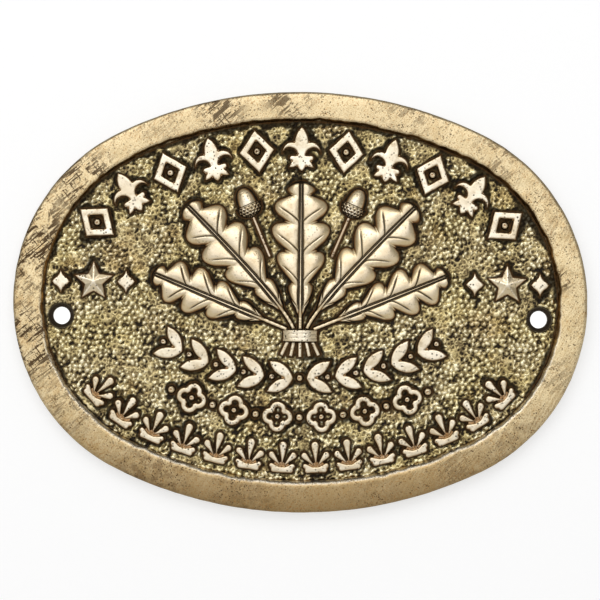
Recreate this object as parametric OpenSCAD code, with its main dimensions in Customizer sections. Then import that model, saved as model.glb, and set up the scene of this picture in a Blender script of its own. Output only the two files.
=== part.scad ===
// Oval cast brass wall plaque: a flat plate with a raised rim, two countersunk
// screw holes, bands of raised ornament and an oak spray in low relief.
// It is drawn in plan, thickness along Z, and stood upright at the end:
// the back lies on Y = 0, the front faces -Y, and +Z is up on the wall.

/* [Plate] */
// Overall width of the oval
plaque_w = 165; // [155:1:180]
// Overall height of the oval
plaque_h = 121; // [117:1:128]
// Direction, from the long axis, in which the end arcs meet the side arcs
arc_join_angle = 64; // [61:1:67]
// Thickness of the plate under the ornament
plate_t = 3.0; // [2.4:0.1:4]
// Lean of the outer edge, so that the casting leaves its mould
edge_lean = 3; // [1:0.5:6]
// Bevel ground round the back
back_bevel = 0.4; // [0.2:0.1:0.8]

/* [Rim] */
// Width of the rim's flat face
rim_w = 7.8; // [6:0.1:9]
// Height of the rim over the plate
rim_h = 2.2; // [1.6:0.1:3]
// How far the inner wall of the rim spreads towards its foot
rim_foot = 0.9; // [0.4:0.1:1.4]
// Radius of the rim's outer shoulder
rim_shoulder_r = 1.2; // [0.4:0.1:1.4]

/* [Screw holes] */
// Diameter of each screw hole
hole_d = 5.0; // [4:0.1:5.6]
// Diameter of the countersink at the plate's face
sink_d = 7.2; // [6.4:0.1:8]
// Full angle of the countersink
sink_angle = 90; // [80:1:110]
// Gap between the rim's foot and a countersink
hole_gap = 1.6; // [1:0.1:3]
// How far the screw holes lie below the middle
hole_drop = 4.4; // [2:0.1:6]

/* [Ornament] */
// Height of the flat-topped ornament over the plate
ornament_h = 2.0; // [1.4:0.1:2.6]
// Height of the low domes, such as beads, over the plate
bead_h = 1.5; // [1:0.1:2]

/* [Top band] */
// Height of a lily in the top band, across the band
lily_l = 13.0; // [11:0.1:13.5]
// Height of a lozenge in the top band, across the band
lozenge_l = 12.6; // [11:0.1:13]
// Width of a lozenge
lozenge_w = 10.4; // [9:0.1:10.8]
// Width of the bar that a lozenge is drawn with
lozenge_bar = 2.1; // [1.5:0.1:2.2]
// Gap between the rim's foot and the top band
top_gap = 1.4; // [1:0.1:2]
// Direction, from the long axis, in which the top band ends
top_end_angle = 37; // [35:1:40]

/* [Side stars] */
// Radius of a side star's points
star_r = 5.9; // [5:0.1:6.2]
// Radius of a side star's notches
star_notch_r = 2.8; // [2.2:0.1:3]
// Height of a side star's middle over the plate
star_h = 2.4; // [2:0.1:3]
// Radius of the small pointed lozenges beside each star
spark_r = 3.4; // [2.4:0.1:3.6]
// Gap between a star and the lozenges beside it
spark_gap = 1.0; // [0.6:0.1:1.4]
// Gap between the rim's foot and the ornament at each side
side_gap = 2.2; // [1.6:0.1:3]
// Gap between a screw hole's countersink and the star over it
star_lift = 1.5; // [1:0.1:2]

/* [Lower rows] */
// Gap between the rim's foot and the palmettes
lower_gap = 2.8; // [2:0.1:3]
// Gap between one lower row and the next
row_gap = 2.3; // [1.8:0.1:2.6]
// Height of a palmette
palmette_l = 9.2; // [8:0.1:9.6]
// Width of a palmette
palmette_w = 8.4; // [7:0.1:9]
// Direction, from the long axis, in which the palmettes end
palmette_end_angle = 42; // [40:1:46]
// Width across an open quatrefoil
quatrefoil_w = 9.0; // [7.6:0.1:9.2]
// Width of the bar that a quatrefoil is drawn with
quatrefoil_bar = 1.7; // [1.2:0.1:1.8]
// Distance between quatrefoils, along their row
quatrefoil_pitch = 12.6; // [12:0.1:13]
// Diameter of the beads between the quatrefoils
bead_d = 2.7; // [2:0.1:3]
// Height of the garland of leaf pairs
garland_l = 9.0; // [8.4:0.1:9.4]
// Distance between leaf pairs, along the garland
garland_pitch = 8.2; // [8:0.1:8.6]
// Width of one leaf of the garland
garland_leaf_w = 3.5; // [2.8:0.1:3.6]
// Diameter of the berries of the garland
berry_d = 2.0; // [1.6:0.1:2.2]

/* [Oak spray] */
// Height of the leaves' crests over the plate
leaf_h = 2.6; // [2:0.1:3]
// Height of the leaves' upright edges
leaf_edge_h = 0.9; // [0.6:0.1:1.2]
// Width of a leaf's stalk
stalk_w = 1.6; // [1.4:0.1:1.7]
// Gap between the top band and the leaves that reach for it
leaf_tip_gap = 2.6; // [2:0.1:4]
// Width of the upright leaf, for each millimetre that the spray reaches to a side
upright_leaf_share = 0.40; // [0.34:0.01:0.42]
// Width of the two upper side leaves, for each millimetre of the spray's height
upper_leaf_share = 0.37; // [0.32:0.01:0.39]
// Width of the two lower side leaves, for each millimetre of the spray's height
lower_leaf_share = 0.33; // [0.28:0.01:0.35]
// Gap between the leaves' tips and the stars at the sides
leaf_side_gap = 4.4; // [4:0.1:8]
// Share of a leaf's half width that the notches between its lobes take
leaf_notch = 0.46; // [0.3:0.01:0.5]
// How far the cup's edge stands outside the nut
cup_lip = 0.6; // [0.4:0.1:0.8]
// Gap between an acorn's cup and the lobes of the leaves beside it
acorn_gap = 3.4; // [3:0.1:4.4]
// Height of the nuts over the plate
nut_h = 2.5; // [2.2:0.1:2.8]
// Width of an acorn's stalk
acorn_stalk_w = 1.3; // [1:0.1:1.5]
// Length of the stalks' cut ends, below the band that ties them
stalk_end_l = 4.4; // [3.6:0.1:4.8]
// Depth of the band that ties the spray, down the stalks
tie_l = 3.6; // [3:0.1:4]
// Height of the band that ties the spray, over the plate
tie_h = 2.4; // [2:0.1:2.8]

/* [Hidden] */

$fn = 64;
BRASS = [0.78, 0.66, 0.42];
PALE_BRASS = [0.86, 0.78, 0.60];
// Spare reach of the solids that only cut others
REACH = 1;

half_w = plaque_w / 2;
half_h = plaque_h / 2;

// The oval has four centres: two end arcs and two flatter side arcs that meet with no corner.
centre_gap = (half_w - half_h) / (cos(arc_join_angle) + sin(arc_join_angle) - 1);
end_r = half_h - centre_gap * (1 - sin(arc_join_angle));
side_r = end_r + centre_gap;
end_x = half_w - end_r;
side_y = side_r - half_h;
side_half_angle = 90 - arc_join_angle;

// The end arcs are drawn this much small, so that they lie just inside the side arcs where the two meet
SEAM = 0.005;

rim_top = plate_t + rim_h;
foot_inset = rim_w + rim_foot;
hole_x = half_w - foot_inset - hole_gap - sink_d / 2;
sink_depth = (sink_d - hole_d) / 2 / tan(sink_angle / 2);

// The edge leans in from the top of the back's bevel, where the oval has its full size
function edge_inset(z) = (z - back_bevel) * tan(edge_lean);
function radians(a) = a * PI / 180;
function degrees(l, r) = l / r * 180 / PI;

// A point on the oval drawn in by inset, at length s from the top: its place, and the direction of its outward normal
function side_length(inset) = (side_r - inset) * radians(side_half_angle);
function oval_station(inset, s) =
  let (on_side = side_length(inset), far = abs(s), way = s < 0 ? -1 : 1)
  far <= on_side
    ? let (turn = degrees(far, side_r - inset))
      [[way * (side_r - inset) * sin(turn), (side_r - inset) * cos(turn) - side_y], 90 - way * turn]
    : let (normal = arc_join_angle - degrees(far - on_side, end_r - inset))
      [[way * (end_x + (end_r - inset) * cos(normal)), (end_r - inset) * sin(normal)], way > 0 ? normal : 180 - normal];
// Length along the drawn-in oval from its top to where its normal has a direction in the end arc
function length_to(inset, normal) = side_length(inset) + (end_r - inset) * radians(arc_join_angle - normal);

// Stands a plan upright, with its front towards -Y
module upright() { rotate([90, 0, 0]) children(); }
// Puts what is drawn from Z = 0 on the plate's face
module on_plate() { upright() translate([0, 0, plate_t]) children(); }

// A solid disc turned from an edge profile of insets and heights, for an arc of radius r
module turned(profile, r, first, turn) {
  low = profile[0].y;
  high = profile[len(profile) - 1].y;
  rotate_extrude(angle = turn, start = first)
    polygon(concat([[0, low]], [for (p = profile) [r - p.x, p.y]], [[0, high]]));
}

// A solid oval with one edge profile: two whole discs for the ends and a sector for each flatter side
module oval_solid(profile) {
  low = profile[0].y;
  high = profile[len(profile) - 1].y;
  for (way = [-1, 1]) {
    translate([way * end_x, 0, 0]) turned(profile, end_r - SEAM, 0, 360);
    mirror([0, way < 0 ? 1 : 0, 0]) intersection() {
      translate([0, -side_y, 0]) turned(profile, side_r, arc_join_angle, 2 * side_half_angle);
      translate([-half_w, -REACH, low - REACH]) cube([plaque_w, half_h + 2 * REACH, high - low + 2 * REACH]);
    }
  }
}

module back_plate() {
  color(BRASS) upright() difference() {
    oval_solid([[back_bevel, 0], [0, back_bevel], [edge_inset(plate_t), plate_t]]);
    for (way = [-1, 1]) translate([way * hole_x, -hole_drop, 0]) {
      translate([0, 0, -REACH]) cylinder(d = hole_d, h = plate_t + 2 * REACH);
      translate([0, 0, plate_t - sink_depth])
        cylinder(d1 = hole_d, d2 = sink_d + 2 * REACH * tan(sink_angle / 2), h = sink_depth + REACH);
    }
  }
}

// The rim leans in to a round shoulder outside, and its inner wall spreads towards its foot
module rim() {
  shoulder = [for (a = [0 : 15 : 90 - edge_lean]) [
    edge_inset(rim_top) + rim_shoulder_r * (1 - cos(a + edge_lean)),
    rim_top - rim_shoulder_r * (1 - sin(a + edge_lean))
  ]];
  function inner_inset(z) = rim_w + rim_foot * (rim_top - z) / rim_h;
  color(BRASS) upright() difference() {
    oval_solid(concat([[edge_inset(plate_t), plate_t]], shoulder, [[edge_inset(rim_top) + rim_shoulder_r, rim_top]]));
    oval_solid([for (z = [plate_t - REACH, rim_top + REACH]) [inner_inset(z), z]]);
  }
}

// A pointed petal from the origin along +Y
module petal(l, w) {
  bow_r = (l * l + w * w) / (4 * w);
  intersection_for (way = [-1, 1])
    translate([way * (bow_r - w / 2), l / 2]) circle(bow_r);
}

// A bar of full length l with round ends, along X
module round_bar(l, w) {
  square([l - w, w], center = true);
  for (way = [-1, 1]) translate([way * (l - w) / 2, 0]) circle(d = w);
}

module rhombus(w, l) { polygon([[w / 2, 0], [0, l / 2], [-w / 2, 0], [0, -l / 2]]); }

// A heraldic lily, l high, centred on the origin
module lily(l) {
  unit = l / 13;
  knot_y = -2.6 * unit;
  translate([0, knot_y]) {
    petal(9.1 * unit, 4.2 * unit);
    mirror([0, 1]) petal(3.9 * unit, 2.6 * unit);
    round_bar(7.2 * unit, 1.7 * unit);
    for (way = [-1, 1]) {
      rotate(way * 128) petal(4.6 * unit, 2.0 * unit);
      difference() {
        translate([way * 2.75 * unit, 1.9 * unit]) circle(2.75 * unit);
        translate([way * 3.4 * unit, 0.7 * unit]) circle(2.2 * unit);
      }
    }
  }
}

// An open lozenge drawn with one bar
module lozenge() {
  // Across a rhombus the bar spreads by its own width over the sine of the corner's half angle
  half_corner = atan(lozenge_w / lozenge_l);
  difference() {
    rhombus(lozenge_w, lozenge_l);
    rhombus(lozenge_w - 2 * lozenge_bar / cos(half_corner), lozenge_l - 2 * lozenge_bar / sin(half_corner));
  }
}

// Four lobes round a middle, as an outline drawn in by inset
module four_lobes(inset) {
  lobe_r = quatrefoil_w / 4 + 0.25;
  out = quatrefoil_w / 2 - lobe_r;
  for (a = [0 : 90 : 270]) rotate(a) translate([out, 0]) circle(lobe_r - inset);
  rotate(45) square(2 * out * cos(45) + 0.4, center = true);
}
module quatrefoil() {
  difference() {
    four_lobes(0);
    four_lobes(quatrefoil_bar);
  }
}

// A drop from a point at the origin to a round end, along +Y
module drop(l, r) {
  out = l - r;
  lean = asin(r / out);
  reach = out * cos(lean);
  translate([0, out]) circle(r);
  polygon([[0, 0], [reach * sin(lean), reach * cos(lean)], [-reach * sin(lean), reach * cos(lean)]]);
}

// A fan of rounded drops over a short bar, palmette_l high and palmette_w wide, centred on the origin
module palmette() {
  bar_y = 0.17 * palmette_l;
  bar_rise = 0.04 * palmette_l;
  rise = palmette_l - bar_y;
  side_r = 0.13 * palmette_w;
  translate([0, bar_y - palmette_l / 2]) {
    drop(rise, 0.135 * palmette_l);
    for (way = [-1, 1]) {
      rotate(way * 41) drop((palmette_w / 2 - side_r) / sin(41) + side_r, side_r);
      rotate(way * 80) drop(0.47 * palmette_w, 0.1 * palmette_w);
    }
    translate([0, (bar_rise - bar_y) / 2]) round_bar(0.8 * palmette_w, bar_y + bar_rise);
  }
}

// A low round dome on the plate
module dome(d, h) {
  ball_r = (d * d / 4 + h * h) / (2 * h);
  intersection() {
    translate([0, 0, h - ball_r]) sphere(ball_r);
    translate([-d, -d, 0]) cube([2 * d, 2 * d, h + REACH]);
  }
}

top_band_l = max(lily_l, lozenge_l);
top_inset = foot_inset + top_gap + top_band_l / 2;
top_each_side = 5;
top_pitch = length_to(top_inset, top_end_angle) / top_each_side;

// Places its children along the top band, at every second station from first
module along_top(first) {
  for (i = [first : 2 : top_each_side], way = i == 0 ? [1] : [-1, 1]) {
    at = oval_station(top_inset, way * i * top_pitch);
    translate(concat(at[0], 0)) rotate(at[1] - 90) children();
  }
}
module top_band_lilies() {
  color(PALE_BRASS) on_plate() along_top(0) linear_extrude(ornament_h) lily(lily_l);
}
module top_band_lozenges() {
  color(PALE_BRASS) on_plate() along_top(1) linear_extrude(ornament_h) lozenge();
}
module top_band_beads() {
  color(PALE_BRASS) on_plate() along_top(1) dome(bead_d * 0.9, bead_h);
}

side_group_w = 2 * (star_r + spark_gap + 2 * spark_r * 0.8);
side_x = half_w - foot_inset - side_gap - side_group_w / 2;
side_centre_y = -hole_drop + sink_d / 2 + star_lift + star_r * cos(36);

// A five-pointed star whose faces fall from the middle to upright edges
module side_star(way) {
  edge_h = star_h / 2;
  ring = [for (i = [0 : 9]) let (r = i % 2 == 0 ? star_r : star_notch_r) [r * sin(36 * i), r * cos(36 * i)]];
  points = concat(
    [for (p = ring) [p.x, p.y, 0]],
    [for (p = ring) [p.x, p.y, edge_h]],
    [[0, 0, 0], [0, 0, star_h]]
  );
  faces = concat(
    [for (i = [0 : 9]) let (j = (i + 1) % 10) [20, j, i]],
    [for (i = [0 : 9]) let (j = (i + 1) % 10) [i, j, 10 + i]],
    [for (i = [0 : 9]) let (j = (i + 1) % 10) [j, 10 + j, 10 + i]],
    [for (i = [0 : 9]) let (j = (i + 1) % 10) [10 + i, 10 + j, 21]]
  );
  color(PALE_BRASS) on_plate() translate([way * side_x, side_centre_y, 0])
    polyhedron(points, faces);
}
module left_star() { side_star(-1); }
module right_star() { side_star(1); }

// Four-pointed lozenges with hollow sides, one on each side of each star
module side_lozenges() {
  out = star_r * sin(72) + spark_gap + spark_r * 0.8;
  hollow_r = spark_r * 1.35;
  color(PALE_BRASS) on_plate()
    for (way = [-1, 1], beside = [-1, 1])
      translate([way * side_x + beside * out, side_centre_y, 0])
        linear_extrude(ornament_h) difference() {
          rhombus(1.6 * spark_r, 2 * spark_r);
          for (x = [-1, 1], y = [-1, 1])
            translate([x * spark_r * 1.16, y * spark_r * 1.28]) circle(hollow_r * 0.86);
        }
}

// The lower rows lie on circles round one centre, that of the bottom side arc
row_centre_y = side_y;
palmette_inset = foot_inset + lower_gap + palmette_l / 2;
quatrefoil_row_r = side_r - palmette_inset - palmette_l / 2 - row_gap - quatrefoil_w / 2;
garland_r = quatrefoil_row_r - quatrefoil_w / 2 - row_gap - garland_l / 2;

// Places its children at length s along a lower circle, upright on it
module along_row(row_r, s) {
  turn = degrees(s, row_r);
  translate([row_r * sin(turn), row_centre_y - row_r * cos(turn), 0]) rotate(turn) children();
}

palmettes_each_side = 7;
palmette_pitch = length_to(palmette_inset, palmette_end_angle) / (palmettes_each_side - 0.5);
module palmette_row() {
  color(PALE_BRASS) on_plate()
    for (i = [0 : palmettes_each_side - 1], way = [-1, 1]) {
      at = oval_station(palmette_inset, way * (i + 0.5) * palmette_pitch);
      translate([at[0].x, -at[0].y, 0]) rotate(90 - at[1])
        linear_extrude(ornament_h) palmette();
    }
}

quatrefoils_each_side = 3;
module quatrefoil_row() {
  color(PALE_BRASS) on_plate()
    for (i = [0 : quatrefoils_each_side - 1], way = [-1, 1])
      along_row(quatrefoil_row_r, way * (i + 0.5) * quatrefoil_pitch)
        linear_extrude(ornament_h) quatrefoil();
}
module quatrefoil_beads() {
  color(PALE_BRASS) on_plate() {
    for (i = [-quatrefoils_each_side : quatrefoils_each_side])
      along_row(quatrefoil_row_r, i * quatrefoil_pitch) dome(bead_d, bead_h);
    for (i = [0 : quatrefoils_each_side - 1], way = [-1, 1])
      along_row(quatrefoil_row_r, way * (i + 0.5) * quatrefoil_pitch) dome(bead_d * 0.7, bead_h);
  }
}

garland_pairs_each_side = 5;
garland_start = berry_d / 2 + 0.8;
garland_reach = garland_pitch - 0.8;
garland_leaf_l = norm([garland_reach, garland_l / 2]);
garland_spread = atan(garland_l / 2 / garland_reach);
module garland_leaves() {
  color(PALE_BRASS) on_plate()
    for (i = [0 : garland_pairs_each_side - 1], way = [-1, 1])
      along_row(garland_r, way * (garland_start + (i + 0.5) * garland_pitch))
        translate([-way * garland_pitch / 2, 0, 0]) linear_extrude(ornament_h)
          for (turn = [-1, 1])
            rotate(-way * 90 + turn * garland_spread) petal(garland_leaf_l, garland_leaf_w);
}
module garland_berries() {
  color(PALE_BRASS) on_plate() {
    along_row(garland_r, 0) dome(berry_d * 1.2, bead_h);
    for (i = [0 : garland_pairs_each_side - 1], way = [-1, 1])
      along_row(garland_r, way * (garland_start + (i + 0.5) * garland_pitch))
        translate([way * 2.1, 0, 0]) dome(berry_d, bead_h);
  }
}

// The spray fans out from a band just over the garland
spray_foot_y = row_centre_y - (garland_r - garland_l / 2) + 1.4;
tie_low_y = spray_foot_y + stalk_end_l;
tie_top_y = tie_low_y + tie_l;
tie_mid = [0, tie_low_y + tie_l / 2];
stalk_pitch = stalk_w + 0.2;
tie_w = 5 * stalk_pitch + 1;
band_foot_y = half_h - foot_inset - top_gap - top_band_l;

function bend(p, q, r, t) = (1 - t) * (1 - t) * p + 2 * t * (1 - t) * q + t * t * r;
function bend_way(p, q, r, t) = let (v = (1 - t) * (q - p) + t * (r - q)) v / norm(v);
// The share of a bend's length at share s, for start speed a and end speed b
function even(s, a, b) = abs(b - a) < 0.01 ? s : (sqrt(a * a + s * (b * b - a * a)) - a) / (b - a);

// A leaf is the list [foot, elbow, tip, width, stalk's length]: its spine leaves the foot and bends round the elbow
STALK_STEPS = 4;
LOBE_STEPS = 3;
HALF_LOBES = 9;
BLADE_STEPS = LOBE_STEPS * HALF_LOBES;
LEAF_COLUMNS = [-1, -0.66, -0.3, 0, 0.3, 0.66, 1];

// Along a leaf u runs from -1 at the foot of its stalk, by 0 where the blade starts, to 1 at the tip
LEAF_STEPS = concat(
  [for (i = [0 : STALK_STEPS - 1]) i / STALK_STEPS - 1],
  [for (i = [0 : BLADE_STEPS - LOBE_STEPS]) i / BLADE_STEPS],
  [for (i = [1 : LOBE_STEPS + 1]) 1 - (1 - sin(90 * i / (LOBE_STEPS + 1))) / HALF_LOBES]
);

// The blade is widest past its middle; its notches fall between rounded lobes, which lean towards the tip
WIDEST = 0.58;
BLUNT = 0.35;
function lobe(u) = pow(abs(sin(90 * HALF_LOBES * u)), 0.7);
function lobe_lean(u) = 0.5 * (1 - pow(max(u, 0), 3));
function blade_reach(u) = u < WIDEST
  ? 0.16 + 0.84 * pow(sin(90 * u / WIDEST), 1.1)
  : pow(1 - pow((u - WIDEST) / (1 - WIDEST), 2.2), 0.5);
function blade_half_w(u, w) = w / 2 * blade_reach(u) * (1 - leaf_notch + leaf_notch * lobe(u));
function leaf_half_w(leaf, u) = u < 0 ? stalk_w / 2 : max(blade_half_w(u, leaf[3]), u < 0.5 ? stalk_w / 2 : BLUNT);

// A place on the leaf at step u, and c of its half width to the left of the spine
function leaf_place(leaf, u, c) =
  let (
    p = leaf[0], q = leaf[1], r = leaf[2], a = norm(q - p), b = norm(r - q),
    stalk_share = leaf[4] / ((a + b) * 0.97),
    t = even(u < 0 ? stalk_share * (1 + u) : stalk_share + (1 - stalk_share) * u, a, b),
    ahead = bend_way(p, q, r, t), half = leaf_half_w(leaf, u)
  )
  bend(p, q, r, t) + [-ahead.y, ahead.x] * c * half + ahead * abs(c) * max(half - stalk_w / 2, 0) * lobe_lean(u);

// Across the leaf: a groove along the middle, swelling halves, and a fall to the upright edge
function leaf_swell(c) = c == 0 ? 0.62 : abs(c) < 0.5 ? 1 : abs(c) < 1 ? 0.8 : 0;
function leaf_height(leaf, u, c) =
  let (
    grown = min(max((leaf_half_w(leaf, u) - stalk_w / 2) / 2, 0), 1),
    edge = 0.6 + (leaf_edge_h - 0.6) * grown,
    crest = 1.5 + (leaf_h * (u < 0 ? 1 : 0.86 + 0.14 * lobe(u)) - 1.5) * grown
  )
  edge + (crest - edge) * (leaf_swell(c) + (1 - grown) * (c == 0 ? 0.38 : 0));

module oak_leaf(leaf) {
  n = len(LEAF_STEPS);
  m = len(LEAF_COLUMNS);
  top = [for (u = LEAF_STEPS, c = LEAF_COLUMNS) let (v = leaf_place(leaf, u, c)) [v.x, v.y, leaf_height(leaf, u, c)]];
  foot = [for (u = LEAF_STEPS, c = [-1, 1]) let (v = leaf_place(leaf, u, c)) [v.x, v.y, 0]];
  f = n * m;
  faces = concat(
    [for (k = [0 : n - 2], j = [0 : m - 2]) let (o = k * m + j) [o, o + 1, o + m + 1]],
    [for (k = [0 : n - 2], j = [0 : m - 2]) let (o = k * m + j) [o, o + m + 1, o + m]],
    [for (k = [0 : n - 2]) let (o = k * m, g = f + 2 * k) [o, o + m, g + 2]],
    [for (k = [0 : n - 2]) let (o = k * m, g = f + 2 * k) [o, g + 2, g]],
    [for (k = [0 : n - 2]) let (o = k * m + m - 1, g = f + 2 * k + 1) [o, g, g + 2]],
    [for (k = [0 : n - 2]) let (o = k * m + m - 1, g = f + 2 * k + 1) [o, g + 2, o + m]],
    [for (k = [0 : n - 2]) let (g = f + 2 * k) [g, g + 2, g + 3]],
    [for (k = [0 : n - 2]) let (g = f + 2 * k) [g, g + 3, g + 1]],
    [concat([for (j = [m - 1 : -1 : 0]) j], [f, f + 1])],
    [concat([for (j = [0 : m - 1]) (n - 1) * m + j], [f + 2 * n - 1, f + 2 * n - 2])]
  );
  polyhedron(concat(top, foot), faces);
}

// The room that the leaves fill over the tie: its height, and how far it goes to each side
spray_h = band_foot_y - leaf_tip_gap - tie_top_y;
spray_reach = side_x - side_group_w / 2 - leaf_side_gap;
function in_spray(x, y) = [x * spray_reach, tie_top_y + y * spray_h];
function tie_exit(place) = [place * stalk_pitch, tie_top_y];

UPRIGHT = [tie_exit(0), in_spray(0, 0.5), in_spray(0, 1), upright_leaf_share * spray_reach, 0.08 * spray_h];
UPPER = [tie_exit(1), in_spray(0.107, 0.175), in_spray(0.78, 0.84), upper_leaf_share * spray_h, 0.14 * spray_h];
LOWER = [tie_exit(2), in_spray(0.233, 0.06), in_spray(1, 0.373), lower_leaf_share * spray_h, 0.16 * spray_h];

module spray_leaf(leaf, way) {
  color(PALE_BRASS) on_plate() mirror([way < 0 ? 1 : 0, 0, 0]) oak_leaf(leaf);
}
module upright_leaf() { spray_leaf(UPRIGHT, 1); }
module upper_left_leaf() { spray_leaf(UPPER, -1); }
module upper_right_leaf() { spray_leaf(UPPER, 1); }
module lower_left_leaf() { spray_leaf(LOWER, -1); }
module lower_right_leaf() { spray_leaf(LOWER, 1); }

// The right acorn lies half way between the lobes beside it, and its stalk comes up between the lobes below
LOBE_BESIDE = 7 / 9;
LOBE_BELOW = 3 / 9;
upright_lobe = leaf_place(UPRIGHT, LOBE_BESIDE, -1);
upper_lobe = leaf_place(UPPER, LOBE_BESIDE, 1);
acorn_at = (upright_lobe + upper_lobe) / 2;
stalk_foot = (leaf_place(UPRIGHT, LOBE_BELOW, -1) + leaf_place(UPPER, LOBE_BELOW, 1)) / 2;
acorn_way = acorn_at - stalk_foot;
cup_r = norm(upper_lobe - upright_lobe) / 2 - acorn_gap;
cup_l = 0.9 * cup_r;
nut_r = cup_r - cup_lip;
nut_l = 1.62 * cup_r;

// Keeps what stands above the plate's face, of solids that are sunk into it
module above_plate() {
  intersection() {
    children();
    translate([-half_w, -half_h, 0]) cube([plaque_w, plaque_h, 4 * REACH + leaf_h]);
  }
}

// Places its children at both acorns: the origin is where the cup meets the nut, which points along +X
module at_acorns() {
  for (way = [-1, 1]) mirror([way < 0 ? 1 : 0, 0, 0])
    translate([acorn_at.x, acorn_at.y, 0]) rotate(atan2(acorn_way.y, acorn_way.x)) children();
}

ACORN_STEPS = 8;
module lying_revolve(profile) {
  translate([0, 0, nut_h - nut_r]) rotate([0, 90, 0]) rotate_extrude() polygon(profile);
}
module acorn_nuts() {
  body = [for (i = [0 : ACORN_STEPS - 1]) let (a = 90 * i / ACORN_STEPS)
    [nut_r * pow(cos(a), 0.8), (nut_l - 0.9) * sin(a)]];
  color(PALE_BRASS) on_plate() above_plate() at_acorns()
    lying_revolve(concat([[0, 0]], body, [[0.15 * nut_r, nut_l - 0.7], [0, nut_l]]));
}
module acorn_cups() {
  body = [for (i = [0 : ACORN_STEPS - 1]) let (a = 90 * i / ACORN_STEPS) [cup_r * pow(cos(a), 0.7), -cup_l * sin(a)]];
  color(BRASS) on_plate() above_plate() at_acorns()
    lying_revolve(concat([[0, 0]], body, [[0, -cup_l]]));
}

// A round bar, half sunk into the plate, from one place to another
module half_round(p, q, d) {
  v = q - p;
  translate([p.x, p.y, 0]) rotate(atan2(v.y, v.x)) rotate([0, 90, 0]) cylinder(d = d, h = norm(v));
}

module acorn_stalks() {
  color(PALE_BRASS) on_plate() above_plate() at_acorns()
    half_round([-norm(acorn_way), 0], [-cup_l, 0], acorn_stalk_w);
}

module tie_band() {
  arch_r = (tie_w * tie_w / 4 + (tie_h - 0.8) * (tie_h - 0.8)) / (2 * (tie_h - 0.8));
  turn_l = tie_l / 3;
  color(PALE_BRASS) on_plate() translate([0, tie_low_y, 0])
    intersection() {
      translate([-tie_w / 2, 0, 0]) cube([tie_w, tie_l, 2 * tie_h]);
      for (i = [0 : 2])
        translate([0, i * turn_l, tie_h - arch_r]) rotate([-90, 0, 0]) {
          translate([0, 0, 0.15]) cylinder(r = arch_r, h = turn_l - 0.3);
          cylinder(r = arch_r - 0.4, h = turn_l);
        }
    }
}

module stalk_ends() {
  color(PALE_BRASS) on_plate() intersection() {
    for (i = [-2 : 2])
      half_round([i * stalk_pitch * 0.9, tie_low_y + 0.8], [i * stalk_pitch * 1.5, spray_foot_y + 0.28 * abs(i)], stalk_w);
    translate([-half_w, -half_h, 0]) cube([plaque_w, half_h + tie_low_y, leaf_h]);
  }
}

back_plate();
rim();
top_band_lilies();
top_band_lozenges();
top_band_beads();
left_star();
right_star();
side_lozenges();
garland_leaves();
garland_berries();
quatrefoil_row();
quatrefoil_beads();
palmette_row();
upright_leaf();
upper_left_leaf();
upper_right_leaf();
lower_left_leaf();
lower_right_leaf();
acorn_nuts();
acorn_cups();
acorn_stalks();
tie_band();
stalk_ends();
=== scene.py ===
import math

import bmesh
import bpy
import numpy as np
from mathutils import Matrix, Vector, noise
from mathutils.bvhtree import BVHTree
from mathutils.kdtree import KDTree


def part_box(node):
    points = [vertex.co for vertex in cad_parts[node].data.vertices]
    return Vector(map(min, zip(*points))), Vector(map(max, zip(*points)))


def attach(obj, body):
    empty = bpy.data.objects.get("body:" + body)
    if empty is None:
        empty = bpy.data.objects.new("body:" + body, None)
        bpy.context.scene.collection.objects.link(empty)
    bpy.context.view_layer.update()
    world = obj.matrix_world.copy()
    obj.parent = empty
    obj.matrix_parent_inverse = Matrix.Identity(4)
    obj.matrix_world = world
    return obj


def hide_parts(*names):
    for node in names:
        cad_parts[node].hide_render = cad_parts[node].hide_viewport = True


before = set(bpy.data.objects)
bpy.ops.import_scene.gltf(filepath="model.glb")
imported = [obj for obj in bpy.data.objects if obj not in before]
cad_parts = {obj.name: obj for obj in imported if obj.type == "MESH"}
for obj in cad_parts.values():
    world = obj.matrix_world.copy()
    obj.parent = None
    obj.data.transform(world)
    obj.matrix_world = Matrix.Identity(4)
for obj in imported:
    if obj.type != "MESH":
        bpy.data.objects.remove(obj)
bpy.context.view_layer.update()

bl_info = {
    "name": "Oval brass wall plaque",
    "version": (1, 0, 0),
    "blender": (4, 5, 0),
    "location": "View3D > Sidebar > Plaque",
    "description": "Dresses the plaque's CAD solids as a sand casting in patinated brass",
    "category": "Object",
}

MM = 0.001
BODY = "root"
SEED = 4


def linear(red, green, blue):
    """An sRGB colour of 0 to 255 as the linear colour that Blender's sockets take."""
    def one(value):
        value /= 255
        return value / 12.92 if value <= 0.04045 else ((value + 0.055) / 1.055) ** 2.4
    return (one(red), one(green), one(blue))


def shade(colour, share):
    return tuple(v * share for v in colour)


def box_mm(node):
    low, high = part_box(node)
    return [v / MM for v in low], [v / MM for v in high]


PLATE_LOW, PLATE_HIGH = box_mm("back_plate")
RIM_LOW = box_mm("rim")[0]


def length(name, text, default, **limits):
    """A size in mm for the panel."""
    return bpy.props.FloatProperty(name=name, description=text + ", in mm", default=default, **limits)


def paint(name, text, *tone):
    """A colour for the panel, given as sRGB of 0 to 255."""
    return bpy.props.FloatVectorProperty(name=name, description=text, subtype="COLOR", default=linear(*tone))


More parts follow.
